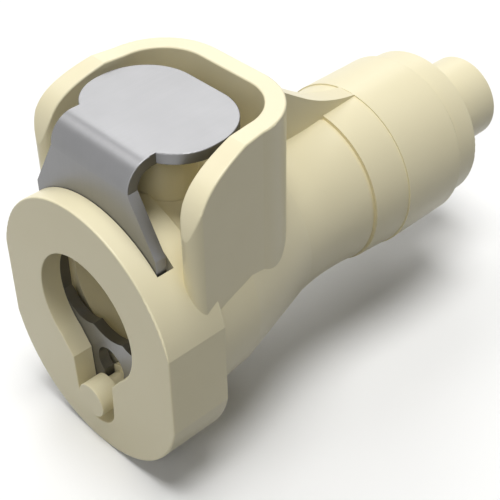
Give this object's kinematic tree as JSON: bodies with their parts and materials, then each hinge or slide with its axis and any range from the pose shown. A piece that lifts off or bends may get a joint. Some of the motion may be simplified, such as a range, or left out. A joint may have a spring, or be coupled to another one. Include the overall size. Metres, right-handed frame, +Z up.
{
  "type": "quick disconnect coupling body",
  "caption": "Moulded in-line quick disconnect coupling socket with a pressed steel thumb latch in a guard, a sprung lock pin, an inner shut-off valve and a plain tail spigot.",
  "frame": {"origin": "on the flow axis, in the middle of the plain tail spigot", "axes": "+Y along the flow axis from the mouth to the tail, +Z up through the thumb pad, +X to the side"},
  "size_m": [0.0172, 0.0389, 0.0249],
  "materials": {
    "shell_plastic": "smooth moulded acetal in a warm cream",
    "latch_steel": "pressed stainless sheet, fine satin",
    "seal_rubber": "black seal rubber",
    "spring_steel": "drawn spring wire",
    "valve_plastic": "smooth moulded acetal"
  },
  "bodies": {
    "body": {"coupling_body": "shell_plastic", "tail_fitting": "shell_plastic", "tail_seal": "seal_rubber", "valve_guide": "valve_plastic", "latch_spring": "spring_steel", "lock_pin_spring": "spring_steel", "valve_spring": "spring_steel"},
    "latch": {"latch_plate": "latch_steel", "spring_cap": "shell_plastic"},
    "pin": {"lock_pin": "shell_plastic"},
    "valve": {"valve_poppet": "valve_plastic", "valve_seal": "seal_rubber"}
  },
  "joints": [
    {"name": "latch_press", "type": "slide", "parent": "body", "child": "latch", "axis": [0, 0, -1], "range_m": [0, 0.0021], "stiffness_N_per_m": 900, "springref_m": -0.003, "deforming": ["latch_spring"]},
    {"name": "lock_pin_push", "type": "slide", "parent": "body", "child": "pin", "axis": [0, 1, 0], "range_m": [0, 0.00036], "stiffness_N_per_m": 300, "springref_m": -0.002, "deforming": ["lock_pin_spring"]},
    {"name": "valve_open", "type": "slide", "parent": "body", "child": "valve", "axis": [0, 1, 0], "range_m": [0, 0.0025], "stiffness_N_per_m": 500, "springref_m": -0.003, "deforming": ["valve_spring"]}
  ]
}
